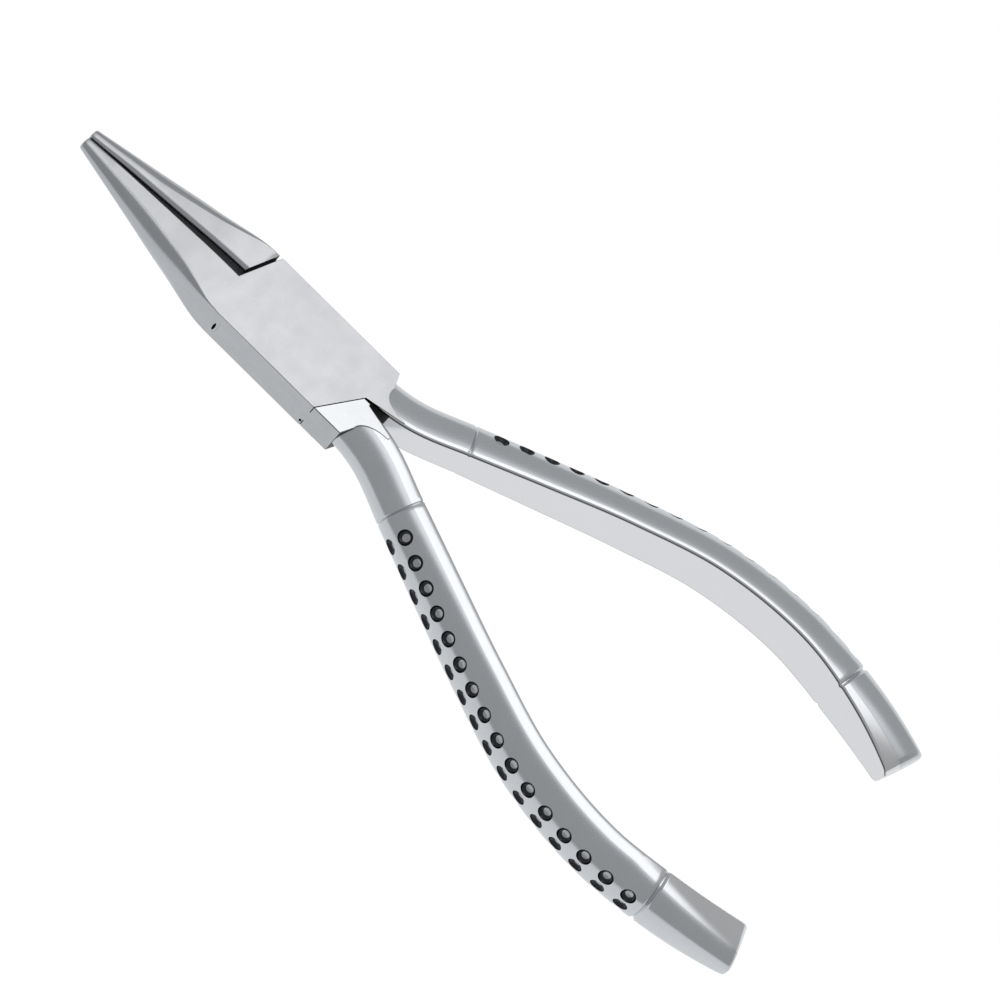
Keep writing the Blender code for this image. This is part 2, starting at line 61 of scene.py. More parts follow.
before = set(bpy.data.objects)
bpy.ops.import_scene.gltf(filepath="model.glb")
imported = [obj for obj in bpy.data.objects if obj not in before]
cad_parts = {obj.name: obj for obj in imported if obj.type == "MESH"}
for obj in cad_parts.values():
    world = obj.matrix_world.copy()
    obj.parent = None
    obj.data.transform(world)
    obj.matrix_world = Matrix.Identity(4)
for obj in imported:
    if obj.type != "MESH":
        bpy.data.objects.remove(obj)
CAD_LOW, CAD_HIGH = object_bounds()
PIN_LOW, PIN_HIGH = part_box("pivot_pin")

MM = 0.001
THICKNESS = PIN_HIGH[2] - PIN_LOW[2]
MIDDLE_Z = (PIN_HIGH[2] + PIN_LOW[2]) / 2
BACK_Z = MIDDLE_Z - THICKNESS / 2
FRONT_Z = BACK_Z + THICKNESS
PIN_RADIUS = (PIN_HIGH[0] - PIN_LOW[0]) / 2
TIP_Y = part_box("box_half")[1][1]

# The two sides of the pliers, as factors of X
LEFT = -1.0
RIGHT = 1.0
SIDE_NAMES = {LEFT: "left", RIGHT: "right"}

# Points this close are one point, and a point this close to a plane lies on it
WELD = 0.0005 * MM
ON_PLANE = 0.01 * MM

# Flatter edges are dissolved, and steeper ones stay sharp
FLAT_ANGLE = math.radians(0.3)
SHARP_ANGLE = math.radians(28.0)

# How finely the round forms are divided
PIN_SIDES = 96
MARK_SIDES = 24
BALL_SEGMENTS = 32
BALL_RINGS = 24
ARC_STEP = math.radians(2.0)
NECK_STEPS = 20
BEAK_STATIONS = 68
BEAK_CORNER_STEPS = 14
TIP_STEPS = 5
PATH_SAMPLES = 1600
HANDLE_STATIONS = 112
END_STEPS = 9
FILLET_STEPS = 6
CROWN_STEPS = 56

# Material slots, in the order that steel_set gives
CHEEK, BEAK, EDGE, SIDE_SHADE, GRIP, DIMPLE_SHADE, SEAM_SHADE, INNER_SHADE = range(8)


def srgb(code):
    """Linear red, green and blue of an sRGB colour such as D8DADC."""
    channels = [int(code[i : i + 2], 16) / 255 for i in (0, 2, 4)]
    return tuple(c / 12.92 if c <= 0.04045 else ((c + 0.055) / 1.055) ** 2.4 for c in channels)


def length(name, millimetres, description):
    """A length property, given in millimetres and kept in metres."""
    return FloatProperty(
        name=name, description=description, default=millimetres * MM, unit="LENGTH", precision=5
    )


def lengths(name, millimetres, description):
    """Several lengths in one property, given in millimetres and kept in metres."""
    return FloatVectorProperty(
        name=name,
        description=description,
        default=[value * MM for value in millimetres],
        size=len(millimetres),
        unit="LENGTH",
        precision=5,
    )


def colour(name, code, description):
    return FloatVectorProperty(
        name=name, description=description, default=srgb(code), subtype="COLOR", size=3
    )


def length_pairs(name, pairs, description):
    """Places in one property, each with the length given there."""
    return lengths(name, [value for pair in pairs for value in pair], description)


def angle(name, degrees, description):
    return FloatProperty(
        name=name, description=description, default=math.radians(degrees), subtype="ANGLE"
    )


def number(name, value, description):
    return FloatProperty(name=name, description=description, default=value)


class PliersJointSizes(bpy.types.PropertyGroup):
    """Sizes of the box joint between the two halves."""

    width: length("Width", 12.8, "Across both sides of the box joint")
    front: length("Front", 11.8, "From the pivot to where the beaks begin")
    rear: length("Rear", 11.7, "From the pivot to where the necks begin")
    edge: length("Edge", 0.16, "Width of the broken edges round the flat faces")
    seam_edge: length("Seam Edge", 0.35, "Width of the broken edge at the front seam")
    tongue_thickness: length("Tongue Thickness", 3.1, "Thickness of the tongue in its slot")
    tongue_radius: length("Tongue Radius", 11.95, "Round ends of the tongue, about the pivot")
    slide_gap: length("Slide Gap", 0.008, "Gap between the tongue and each cheek")
    slot_end_gap: length("Slot End Gap", 0.02, "Gap past the round ends of the tongue")
    front_seam: length("Front Seam", 12.4, "From the pivot to the middle of the front seam")
    front_seam_gap: length("Front Seam Gap", 0.5, "Width of the front seam")
    front_seam_turn: angle("Front Seam Turn", 70.2, "Where the front seam is nearest the pivot")
    rear_seam: length("Rear Seam", 9.18, "From the pivot to the middle of the rear seam")
    rear_seam_gap: length("Rear Seam Gap", 0.12, "Width of the rear seam")
    rear_seam_turn: angle("Rear Seam Turn", 238.4, "Where the rear seam is nearest the pivot")
    notch_gap: length("Notch Gap", 0.3, "Gap between the two necks where they begin")
    neck_face: length("Neck Face", 5.3, "Length of flat face that runs out along each neck")
    neck_strip_right: length("Right Neck Strip", 0.15, "Width of the face at its end, on the right")
    neck_strip_left: length("Left Neck Strip", 0.6, "Width of the face at its end, on the left")


class PliersBeakSizes(bpy.types.PropertyGroup):
    """Sizes of one beak."""

    length: length("Length", 29.1, "From the tip to the box joint")
    shift_at_tip: length("Shift at Tip", 0.3, "How far right of the pivot the tips meet")
    shift_at_root: length("Shift at Root", 0.5, "How far right of the pivot the gap begins")
    tip_diameter: length("Tip Diameter", 1.7, "Thickness at the tip")
    tip_edge: length("Tip Edge", 0.3, "Rounding of the tip's edge")
    gap_at_tip: length("Gap at Tip", 0.12, "Gap between the closed beaks at their tips")
    gap_at_root: length("Gap at Root", 1.35, "Gap between the closed beaks at the box joint")
    cone_width: length("Cone Width End", 15.5, "How far back the width grows in a straight line")
    cone_depth: length("Cone Depth End", 20.9, "How far back the depth grows in a straight line")
    inner_edge_left: length("Left Inner Edge", 0.15, "Rounding of the left beak's inner corners")
    inner_edge_right: length("Right Inner Edge", 0.8, "Rounding of the right beak's inner corners")
    shoulders: length_pairs(
        "Shoulders",
        ((0.0, 0.83), (1.8, 1.05), (6.3, 1.5), (10.7, 1.95), (15.8, 2.1))
        + ((20.9, 1.8), (24.4, 1.1), (27.3, 0.3), (29.1, 0.16)),
        "Back from the tip, and how far the round outer side reaches across the top",
    )
    width_taper: number("Width Taper", 0.2085, "Growth of the width for each unit of length")
    depth_taper: number("Depth Taper", 0.107, "Growth of the half depth for each unit of length")


class PliersHandleSizes(bpy.types.PropertyGroup):
    """The middle line and the section of one handle."""

    middle: length_pairs(
        "Middle Line",
        ((9.5, 3.33), (17.0, 4.15), (25.5, 7.7), (36.0, 12.14), (48.0, 17.06))
        + ((61.0, 21.52), (75.0, 23.2), (87.0, 21.76), (98.6, 18.66)),
        "Back from the pivot, and the middle line's sideways place",
    )
    widths: length_pairs(
        "Widths",
        ((9.5, 5.95), (28.0, 5.9), (46.0, 5.7), (64.0, 5.85), (82.0, 6.2), (98.6, 6.9)),
        "Back from the pivot, and the width of the section",
    )
    thicknesses: length_pairs(
        "Thicknesses",
        ((9.5, 7.06), (21.0, 7.04), (33.0, 8.4), (46.0, 9.7))
        + ((60.0, 10.1), (75.0, 9.95), (98.6, 9.95)),
        "Back from the pivot, and the thickness of the section",
    )
    lean: length("Lean", 0.33, "How far both ends lean to the right")
    nose_start: length("Nose Start", 80.0, "From the pivot back to where the end thins")
    end_thickness: length("End Thickness", 6.0, "Thickness at the end")
    fillet: length("Inner Fillet", 0.4, "Rounding of the two inner corners")
    end_fillet: length("End Fillet", 0.35, "Rounding of the end's edges")
    end_round: length("End Round", 1.2, "Rounding of the end, seen from the side")
    crown_power: number("Crown Power", 2.25, "Fullness of the crowned outer side")
    nose_power: number("Nose Power", 3.6, "Fullness of the outer side at the end")
    nose_roll: length("Nose Roll", 0.7, "How far the flat of the end falls toward the inner face")


class PliersGripSizes(bpy.types.PropertyGroup):
    """Grooves and dimples of one grip."""

    groove_front: length("Front Groove", 25.1, "From the pivot back to the front groove")
    groove_rear: length("Rear Groove", 84.9, "From the pivot back to the rear groove")
    groove_widths: lengths("Groove Widths", (0.45, 0.95), "Width of the front and the rear groove")
    groove_depths: lengths("Groove Depths", (0.22, 0.36), "Depth of the front and the rear groove")
    dimple_count: IntProperty(name="Dimples", description="Dimples in one row", default=16, min=2)
    margin_front: length("Front Margin", 3.7, "From the front groove to the nearest dimple")
    margin_rear: length("Rear Margin", 2.6, "From the rear groove to the nearest dimple")
    dimple_diameter: length("Dimple Diameter", 2.3, "Across a dimple's rim")
    dimple_depth: length("Dimple Depth", 0.8, "Depth of a dimple")
    row_front: length("Row Spacing Front", 2.8, "Height of the outer rows at the front")
    row_rear: length("Row Spacing Rear", 2.5, "Height of the outer rows at the rear")


class PliersFinish(bpy.types.PropertyGroup):
    """Colours of the steel finishes and of the floor; the darker finishes carry painted shade."""

    cheek: colour("Cheek", "D6D7DA", "Ground flat faces of the box joint")
    beak: colour("Beak", "B2B5B9", "Buffed round corners of the beaks")
    strip: colour("Strip", "D4D6D9", "Buffed strips, inner faces of the handles")
    side: colour("Side", "B2B5B9", "Sides of the box joint, dimple floors")
    # Side: grey darkened as painted shade of the shadowed floor that the sides mirror
    grip: colour("Grip", "C4C8CC", "Satin outer sides of the handles")
    # Dimple: near black painted shade on the walls of the dimples
    dimple: colour("Dimple", "3A3C40", "Walls of the dimples")
    # Seam: black painted shade in the gaps and hollows of the joint
    seam: colour("Seam", "1E1F21", "Hidden faces inside the joint")
    # Inner: dark grey painted shade in the beaks' slit and the joint, and a dark line at corners
    inner: colour("Inner", "6A6C70", "Honed inner faces, tongue and corner lines")
    floor: colour("Floor", "FFFFFF", "Plain studio floor")


class PliersSettings(bpy.types.PropertyGroup):
    """All settings of the pliers."""

    joint: PointerProperty(type=PliersJointSizes)
    beak: PointerProperty(type=PliersBeakSizes)
    handle: PointerProperty(type=PliersHandleSizes)
    grip: PointerProperty(type=PliersGripSizes)
    finish: PointerProperty(type=PliersFinish)


def settings():
    return bpy.context.scene.pliers


def mix(first, second, share):
    return first + (second - first) * share


def smoothstep(low, high, value):
    share = min(max((value - low) / (high - low), 0.0), 1.0)
    return share * share * (3.0 - 2.0 * share)


def hermite(start, end, start_slope, end_slope, share, span):
    """A cubic from start to end over a span, with the slope given at both ends."""
    squared = share * share
    cubed = squared * share
    return (
        start * (2 * cubed - 3 * squared + 1)
        + span * start_slope * (cubed - 2 * squared + share)
        + end * (3 * squared - 2 * cubed)
        + span * end_slope * (cubed - squared)
    )


# Modelling helpers


def deselect_all():
    bpy.ops.object.select_all(action="DESELECT")


def select_only(piece):
    deselect_all()
    piece.select_set(True)
    bpy.context.view_layer.objects.active = piece


def apply_transform():
    bpy.ops.object.transform_apply(location=True, rotation=True, scale=True)


def extruded_form(name, rings, finishes=(0,)):
    """A circle that takes the shape of the first ring and is extruded from ring to ring.

    finishes gives the material index of the strip of faces that starts at each ring point.
    """
    deselect_all()
    bpy.ops.mesh.primitive_circle_add(vertices=len(rings[0]), radius=1.0, fill_type="NGON")
    piece = bpy.context.object
    piece.name = name
    bpy.ops.object.mode_set(mode="EDIT")
    bpy.ops.mesh.select_mode(type="FACE")
    bpy.ops.mesh.select_all(action="SELECT")
    for index, ring in enumerate(rings):
        if index:
            bpy.ops.mesh.extrude_region_move()
        work = bmesh.from_edit_mesh(piece.data)
        column = work.verts.layers.int.get("column") or work.verts.layers.int.new("column")
        cap = next(face for face in work.faces if face.select)
        for order, (corner, point) in enumerate(zip(cap.verts, ring)):
            corner.co = point
            corner[column] = order
        bmesh.update_edit_mesh(piece.data)
    work = bmesh.from_edit_mesh(piece.data)
    column = work.verts.layers.int.get("column")
    last = len(rings[0]) - 1
    for face in work.faces:
        orders = {corner[column] for corner in face.verts}
        if len(orders) == 2:
            first = last if orders == {0, last} else min(orders)
            face.material_index = finishes[first % len(finishes)]
    bmesh.update_edit_mesh(piece.data)
    bpy.ops.mesh.select_all(action="SELECT")
    bpy.ops.mesh.normals_make_consistent(inside=False)
    bpy.ops.object.mode_set(mode="OBJECT")
    return piece


def outlined_plate(name, outline, low, high):
    """A flat outline between two heights, from a filled curve that is made a mesh."""
    deselect_all()
    curve = bpy.data.curves.new(name, "CURVE")
    curve.dimensions = "2D"
    curve.fill_mode = "BOTH"
    curve.extrude = (high - low) / 2
    spline = curve.splines.new("POLY")
    spline.points.add(len(outline) - 1)
    for point, (x, y) in zip(spline.points, outline):
        point.co = (x, y, 0.0, 1.0)
    spline.use_cyclic_u = True
    piece = bpy.data.objects.new(name, curve)
    bpy.context.scene.collection.objects.link(piece)
    piece.location.z = (low + high) / 2
    select_only(piece)
    bpy.ops.object.convert(target="MESH")
    apply_transform()
    bpy.ops.object.mode_set(mode="EDIT")
    bpy.ops.mesh.select_all(action="SELECT")
    bpy.ops.mesh.remove_doubles(threshold=WELD)
    bpy.ops.mesh.dissolve_limited(angle_limit=FLAT_ANGLE)
    bpy.ops.mesh.select_all(action="SELECT")
    bpy.ops.mesh.normals_make_consistent(inside=False)
    bpy.ops.object.mode_set(mode="OBJECT")
    return bpy.context.object


def apply_modifier(piece, kind, **values):
    """Add a modifier with its values and apply it."""
    select_only(piece)
    bpy.ops.object.modifier_add(type=kind)
    modifier = piece.modifiers[-1]
    for key, value in values.items():
        setattr(modifier, key, value)
    bpy.ops.object.modifier_apply(modifier=modifier.name)


def combine(piece, tool, operation):
    """Join or cut with a second mesh, which is then deleted."""
    apply_modifier(
        piece, "BOOLEAN", operation=operation, solver="EXACT", object=tool, material_mode="TRANSFER"
    )
    select_only(tool)
    bpy.ops.object.delete()


def add_cylinder(name, sides, radius, depth, location, turn=0.0, scale=(1.0, 1.0, 1.0)):
    """A cylinder along Z, scaled in its own axes and then turned about Y."""
    deselect_all()
    bpy.ops.mesh.primitive_cylinder_add(
        vertices=sides, radius=radius, depth=depth, location=location, rotation=(0.0, turn, 0.0)
    )
    piece = bpy.context.object
    piece.name = name
    piece.scale = scale
    apply_transform()
    return piece


def join_pieces(pieces, name):
    deselect_all()
    for piece in pieces:
        piece.select_set(True)
    bpy.context.view_layer.objects.active = pieces[0]
    bpy.ops.object.join()
    bpy.context.object.name = name
    return bpy.context.object


def break_rims(piece, width):
    """Break the edges round the two flat faces and leave the upright ones sharp."""
    select_only(piece)
    weights = piece.data.attributes.new("bevel_weight_edge", "FLOAT", "EDGE")
    for edge in piece.data.edges:
        first, second = (piece.data.vertices[i].co.z for i in edge.vertices)
        if abs(first - second) < WELD:
            weights.data[edge.index].value = 1.0
    apply_modifier(piece, "BEVEL", width=width, segments=3, limit_method="WEIGHT")


def give_materials(piece, materials):
    """Fill the material slots without changing which slot each face uses."""
    indices = [face.material_index for face in piece.data.polygons]
    piece.data.materials.clear()
    for material in materials:
        piece.data.materials.append(material)
    for face, index in zip(piece.data.polygons, indices):
        face.material_index = index


def break_seam_edge(piece):
    """Break the two edges of the tongue half that face the front seam."""
    joint = settings().joint
    line = joint.front_seam + joint.front_seam_gap / 2
    weights = piece.data.attributes.get("bevel_weight_edge")
    for edge in piece.data.edges:
        ends = [piece.data.vertices[index].co for index in edge.vertices]
        chosen = all(
            abs(abs(end.z - MIDDLE_Z) - THICKNESS / 2) < ON_PLANE
            and abs(end.y - on_seam(end.x, joint.front_seam_turn, line)) < ON_PLANE
            for end in ends
        )
        weights.data[edge.index].value = 1.0 if chosen else 0.0
    apply_modifier(
        piece, "BEVEL", width=joint.seam_edge, segments=4, limit_method="WEIGHT", material=EDGE
    )


# Half width of the notch between the necks, whose faces take the seam's dark painted shade, and its
# reach behind the joint
NOTCH_HALF = 1.6 * MM
NOTCH_REACH = 2.9 * MM

# Least share of its normal with which a face looks along an axis or to a side, and the
# shares with which the left broken edge looks left, which takes a painted dark line of shade
LOOKS_ALONG = 0.7
LOOKS_ASIDE = 0.6
RIM_LOOKS_LEFT = (0.4, 0.97)


def paint_joint(piece, neck_face_index):
    """Give the joint's faces their finish: flat faces, sides, and painted shade on the hidden ones
    inside, in the notch between the necks and on the left broken edge.
    """
    joint = settings().joint
    half = joint.width / 2
    reach = joint.rear + joint.neck_face
    crotch = joint.rear + NOTCH_REACH
    for face in piece.data.polygons:
        centre, normal = face.center, face.normal
        # Faces in the notch between the necks take the seam colour as painted shade
        between = abs(centre.x) < NOTCH_HALF and -crotch < centre.y < -joint.rear / 2
        if between and abs(normal.x) > LOOKS_ALONG:
            face.material_index = SEAM_SHADE
        if face.material_index == SEAM_SHADE and abs(normal.z) > LOOKS_ALONG:
            face.material_index = INNER_SHADE
        if face.material_index != CHEEK or centre.y < -reach:
            continue
        outside = abs(centre.x) > half - joint.edge or centre.y > joint.front
        hidden = BACK_Z + joint.edge < centre.z < FRONT_Z - joint.edge
        rim = RIM_LOOKS_LEFT[0] < -normal.x < RIM_LOOKS_LEFT[1]
        # Hidden faces take painted shade, and the left broken edge a painted dark line
        if hidden and not outside:
            face.material_index = SEAM_SHADE
        elif centre.x < joint.edge - half and rim:
            face.material_index = INNER_SHADE
        elif abs(normal.x) > LOOKS_ASIDE:
            face.material_index = SIDE_SHADE
        elif centre.y < -joint.rear_seam / 2:
            face.material_index = neck_face_index


def finish_piece(piece, name, body, node):
    """Shade the piece smooth between its sharp edges, tie it to its body and hide its node."""
    select_only(piece)
    bpy.ops.object.shade_smooth_by_angle(angle=SHARP_ANGLE)
    apply_modifier(piece, "WEIGHTED_NORMAL", keep_sharp=True)
    piece.name = name
    piece.data.name = name
    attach(piece, body)
    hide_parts(node)


# Outlines of the box joint

# The neck's corner: where it turns across and behind the joint, how far it stays off the
# handle's inner face, and how square it is
NECK_CORNER_SHARE = 0.67
NECK_CORNER_BACK = 0.9 * MM
NECK_INSET = 0.25 * MM
NECK_SQUARENESS = {LEFT: 1.0, RIGHT: 0.6}

# How far the slot's cutter runs past the front of the joint, as a factor
SLOT_OVERRUN = 1.2


def on_seam(x, turn, distance):
    """The Y of the line whose nearest point to the pivot lies in this direction."""
    return (distance - x * math.cos(turn)) / math.sin(turn)


def seam_points(turn, distance, *places):
    return [(x, on_seam(x, turn, distance)) for x in places]


def arc(start, end, radius):
    """Points of a round arc about the pivot."""
    steps = math.ceil(abs(end - start) / ARC_STEP)
    turns = [mix(start, end, step / steps) for step in range(steps + 1)]
    return [(radius * math.cos(turn), radius * math.sin(turn)) for turn in turns]


def neck_outline(side, strip_width):
    """The flat face's rear corner, from the box's side round to the inside of the neck."""
    joint = settings().joint
    handle = settings().handle
    corner_x = joint.width / 2 * NECK_CORNER_SHARE
    corner_y = -joint.rear - NECK_CORNER_BACK
    end_back = joint.rear + joint.neck_face
    middle = curve_through(handle.middle, end_back)
    width = curve_through(handle.widths, end_back)
    inner = middle - width / 2 + NECK_INSET
    strip = inner + strip_width
    points = [(joint.width / 2, -joint.rear)]
    for step in range(NECK_STEPS + 1):
        turn = math.pi / 2 * step / NECK_STEPS
        x = corner_x - (corner_x - strip) * math.sin(turn) ** NECK_SQUARENESS[side]
        y = -end_back + (corner_y + end_back) * math.cos(turn)
        points.append((x, y))
    points.append((inner, -end_back))
    return points


def box_outline():
    """Outline of the box half's cheeks and neck, anticlockwise."""
    joint = settings().joint
    half = joint.width / 2
    front = joint.front_seam - joint.front_seam_gap / 2
    rear = joint.rear_seam - joint.rear_seam_gap / 2
    root = beak_inner(settings().beak.length, LEFT)
    notch = joint.notch_gap / 2
    return [
        *seam_points(joint.front_seam_turn, front, half, root),
        (-half, joint.front),
        *seam_points(joint.rear_seam_turn, rear, -half, notch),
        *reversed(neck_outline(RIGHT, joint.neck_strip_right)),
    ]


def tongue_outline():
    """Outline of the tongue half's block, anticlockwise, with round ends about the pivot."""
    joint = settings().joint
    half = joint.width / 2
    root = beak_inner(settings().beak.length, RIGHT)
    radius = joint.tongue_radius
    side_turn = math.acos(half / radius)
    front_turn = math.acos(root / radius)
    rear_turn = -math.acos(-joint.notch_gap / radius)
    return [
        (half, joint.front),
        *seam_points(joint.front_seam_turn, joint.front_seam, root),
        *arc(front_turn, math.pi - side_turn, radius),
        *((-x, y) for x, y in neck_outline(LEFT, joint.neck_strip_left)),
        *arc(rear_turn, -side_turn, radius),
    ]


def slot_outline():
    """Outline of the slot between the cheeks: round about the pivot, open at the front seam."""
    joint = settings().joint
    root = beak_inner(settings().beak.length, LEFT)
    side = joint.width
    front = joint.front * SLOT_OVERRUN
    radius = joint.tongue_radius + joint.slot_end_gap
    round_end = arc(math.acos(root / radius), 2 * math.pi, radius)
    return [*round_end, (side, 0.0), (side, front), (root, front)]


def pocket_outline():
    """Outline of what is cut from the tongue half above and below its tongue."""
    joint = settings().joint
    front = joint.front_seam + joint.front_seam_gap / 2
    rear = joint.rear_seam + joint.rear_seam_gap / 2
    side = joint.width
    notch = -joint.notch_gap / 2
    back = -joint.rear - joint.neck_face
    return [
        *seam_points(joint.front_seam_turn, front, side, -side),
        *seam_points(joint.rear_seam_turn, rear, -side, notch),
        (notch, back),
        (side, back),
    ]


# Beaks

# How far a beak stays inside the joint's faces, and how deep it is sunk into the block
BEAK_TUCK = 0.004 * MM
BEAK_SINK = 3.0 * MM

# The inner corners' rounding at the tip, how far back they take their own, where the outer
# side starts to turn square, and the most of a side that a corner may take
TIP_INNER_EDGE = 0.45 * MM
INNER_EDGE_REACH = 8.0 * MM
SQUARE_START = 19.0 * MM
CORNER_SHARE = 0.99


def eased(back, start, taper, straight_end, limit):
    """A straight taper from the tip that eases into the box joint's own size."""
    beak = settings().beak
    if back <= straight_end:
        return start + taper * back
    if back >= beak.length:
        return limit
    span = beak.length - straight_end
    share = (back - straight_end) / span
    return hermite(start + taper * straight_end, limit, taper, 0.0, share, span)


def beak_inner(back, side):
    """Sideways place of one beak's inner face: the gap's middle lies right of the pivot."""
    beak = settings().beak
    share = back / beak.length
    gap = mix(beak.gap_at_tip, beak.gap_at_root, share)
    return mix(beak.shift_at_tip, beak.shift_at_root, share) + side * gap / 2


def beak_ring(back, side, inset=0.0):
    """Across one beak: round at the tip, flat-topped further back, square at the box joint."""
    joint = settings().joint
    beak = settings().beak
    inner = side * beak_inner(back, side) + inset
    tip_outer = beak.gap_at_tip / 2 + beak.tip_diameter
    widest = joint.width / 2 - BEAK_TUCK
    outer = eased(back, tip_outer, beak.width_taper, beak.cone_width, widest)
    outer += side * beak.shift_at_tip * max(1.0 - back / beak.length, 0.0) - inset
    tip_half = beak.tip_diameter / 2
    deepest = THICKNESS / 2 - BEAK_TUCK
    half = eased(back, tip_half, beak.depth_taper, beak.cone_depth, deepest) - inset
    width = outer - inner
    inner_edge = beak.inner_edge_right if side > 0 else beak.inner_edge_left
    radius = mix(TIP_INNER_EDGE, inner_edge, smoothstep(0.0, INNER_EDGE_REACH, back))
    across = curve_through(beak.shoulders, back) - inset
    across = min(across, CORNER_SHARE * (width - radius))
    squared = smoothstep(SQUARE_START, beak.length, back)
    down = mix(CORNER_SHARE * half, joint.edge, squared)
    corners = (
        (outer - across, half - down, across, down, 0.0),
        (inner + radius, half - radius, radius, radius, 90.0),
        (inner + radius, radius - half, radius, radius, 180.0),
        (outer - across, down - half, across, down, 270.0),
    )
    ring = []
    for corner_x, corner_z, reach_x, reach_z, first in corners:
        for step in range(BEAK_CORNER_STEPS + 1):
            turn = math.radians(first + 90.0 * step / BEAK_CORNER_STEPS)
            x = corner_x + reach_x * math.cos(turn)
            z = corner_z + reach_z * math.sin(turn)
            ring.append(Vector((side * x, TIP_Y - back, MIDDLE_Z + z)))
    return ring


def make_beak(side):
    """One tapered beak with a rounded tip, from inside the block to the tip."""
    beak = settings().beak
    sink = Vector((0.0, BEAK_SINK, 0.0))
    rings = [[point - sink for point in beak_ring(beak.length, side)]]
    for station in range(BEAK_STATIONS):
        share = station / (BEAK_STATIONS - 1)
        rings.append(beak_ring(mix(beak.length, beak.tip_edge, share), side))
    for step in range(1, TIP_STEPS + 1):
        turn = math.pi / 2 * step / TIP_STEPS
        back = beak.tip_edge * (1 - math.sin(turn))
        rings.append(beak_ring(back, side, beak.tip_edge * (1 - math.cos(turn))))
    finishes = []
    # The inner face takes the painted shade of the slit, and the outer side the side colour
    for flat in (CHEEK, INNER_SHADE, CHEEK, SIDE_SHADE):
        finishes.extend([BEAK] * BEAK_CORNER_STEPS + [flat])
    return extruded_form(f"{SIDE_NAMES[side]}_beak", rings, finishes)


# Handles

# Samples each way that give the middle line's direction
DIRECTION_REACH = 4

# Steps of the crown that belong to the buffed strips
STRIP_STEPS = {LEFT: 4, RIGHT: 1}

# How much the strips widen toward the end, and the share of the width that rolls there
NOSE_SPREAD = 1.2
ROLL_SHARE = 0.8

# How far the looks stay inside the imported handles, whose rings are coarser
SKIN = 0.04 * MM

# Places across a groove, from -1 to 1, and the share of its depth there
GROOVE_SIDE = ((-1.0, 0.0), (-0.85, 0.08), (-0.12, 0.94))
GROOVE_PROFILE = (*GROOVE_SIDE, *((-place, depth) for place, depth in reversed(GROOVE_SIDE)))

# Rows of dimples, as factors of the row spacing
DIMPLE_ROWS = (-1.0, 0.0, 1.0)

# Share of the cutting ball's depth beyond which its faces make the floor
DIMPLE_FLOOR = 0.83


def curve_through(table, place):
    """A smooth curve through a table of places and values, its slopes from the neighbours."""
    places, values = table[:][0::2], table[:][1::2]
    index = 1
    last = len(places) - 1
    while index < last and places[index] < place:
        index += 1
    span = places[index] - places[index - 1]
    steepness = (values[index] - values[index - 1]) / span
    if index == 1:
        end_slope = neighbour_slope(places, values, index)
        start_slope = 2 * steepness - end_slope
    else:
        start_slope = neighbour_slope(places, values, index - 1)
        end_slope = 2 * steepness - start_slope
        if index < last:
            end_slope = neighbour_slope(places, values, index)
    share = (place - places[index - 1]) / span
    return hermite(values[index - 1], values[index], start_slope, end_slope, share, span)


def neighbour_slope(places, values, index):
    """Slope at a place, from the one before it to the one after it."""
    return (values[index + 1] - values[index - 1]) / (places[index + 1] - places[index - 1])


def leaned(side, spot, height):
    """A point of one handle, with the small lean that both handles have to the right."""
    handle = settings().handle
    start, end = handle.middle[0], handle.middle[-2]
    lean = handle.lean * (-spot.y - start) / (end - start)
    return Vector((side * spot.x + lean, spot.y, MIDDLE_Z + height))


def sample_path():
    """Points along the middle line, each with its distance from the handle's start."""
    handle = settings().handle
    start, end = handle.middle[0], handle.middle[-2]
    samples = []
    travelled = 0.0
    for index in range(PATH_SAMPLES + 1):
        back = mix(start, end, index / PATH_SAMPLES)
        point = Vector((curve_through(handle.middle, back), -back))
        if samples:
            travelled += (point - samples[-1][1]).length
        samples.append((travelled, point))
    return samples


def path_distance(path, back):
    """Distance along the middle line to the place this far back from the pivot."""
    return min(path, key=lambda sample: abs(sample[1].y + back))[0]


def path_frame(path, distance):
    """Place, outward direction and distance back at a distance along the middle line."""
    low, high = 0, len(path) - 1
    while high - low > 1:
        middle = (low + high) // 2
        if path[middle][0] < distance:
            low = middle
        else:
            high = middle
    share = (distance - path[low][0]) / (path[high][0] - path[low][0])
    place = path[low][1].lerp(path[high][1], share)
    before = path[max(low - DIRECTION_REACH, 0)][1]
    after = path[min(high + DIRECTION_REACH, len(path) - 1)][1]
    along = (after - before).normalized()
    return place, Vector((-along.y, along.x)), -place.y


def section_size(back):
    """Width and half thickness of the handle's section, and its share of the way to the end."""
    handle = settings().handle
    width = curve_through(handle.widths, back)
    half = curve_through(handle.thicknesses, back) / 2
    nose = max((back - handle.nose_start) / (handle.middle[-2] - handle.nose_start), 0.0)
    half = mix(half, handle.end_thickness / 2, nose * nose)
    return width, half, nose


def crown_point(turn, reach, half, power):
    """A point of the crowned outer side, a superellipse."""
    cosine = max(math.cos(turn), 0.0)
    sine = math.sin(turn)
    height = math.copysign(half * abs(sine) ** (2 / power), sine)
    return reach * cosine ** (2 / power), height


def handle_finishes(side):
    """Material index of each strip of faces round a handle's ring, with a painted dark line at the
    inner corners.
    """
    corner = [INNER_SHADE] * (FILLET_STEPS // 2)
    strip = [EDGE] * (FILLET_STEPS - len(corner) + STRIP_STEPS[side])
    crown = [GRIP] * (CROWN_STEPS - 2 * STRIP_STEPS[side])
    return corner + strip + crown + strip + corner + [EDGE]


